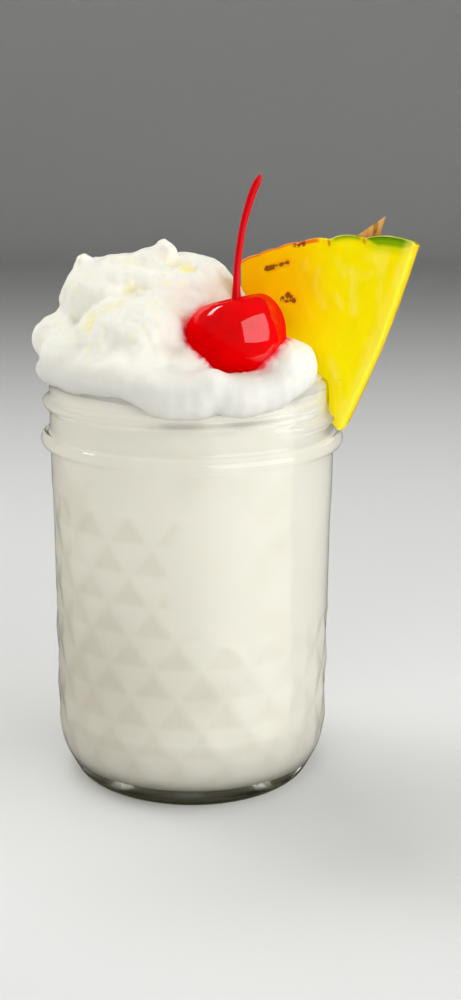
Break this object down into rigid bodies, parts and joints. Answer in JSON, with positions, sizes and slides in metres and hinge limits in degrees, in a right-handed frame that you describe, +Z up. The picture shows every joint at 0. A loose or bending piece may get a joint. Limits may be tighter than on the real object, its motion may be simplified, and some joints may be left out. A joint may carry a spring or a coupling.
{
  "type": "frozen coconut and pineapple drink in a glass jar",
  "caption": "Creamy pina colada in a quilted glass jar, heaped with whipped cream and topped with a cherry and a pineapple wedge slotted over the rim.",
  "frame": {"origin": "centre of the jar's flat base, on the surface it stands on", "axes": "+Z up along the jar's axis, -Y towards the front of the drink, +X towards the pineapple wedge"},
  "size_m": [0.0875, 0.0717, 0.1422],
  "materials": {
    "jar_glass": "clear pressed glass, smooth and glossy",
    "creamy_drink": "opaque warm white liquid, softly glossy",
    "cream": "soft white whipped cream with fine crumbs",
    "cherry_skin": "wet, glossy, translucent red skin",
    "stem_skin": "dyed red stem with a satin shine",
    "pineapple": "moist yellow flesh with a thin green and brown rind"
  },
  "bodies": {
    "root": {"jar": "jar_glass", "drink": "creamy_drink", "whipped_cream": "cream", "cherry": "cherry_skin", "cherry_stem": "stem_skin", "pineapple_wedge": "pineapple"}
  },
  "joints": []
}
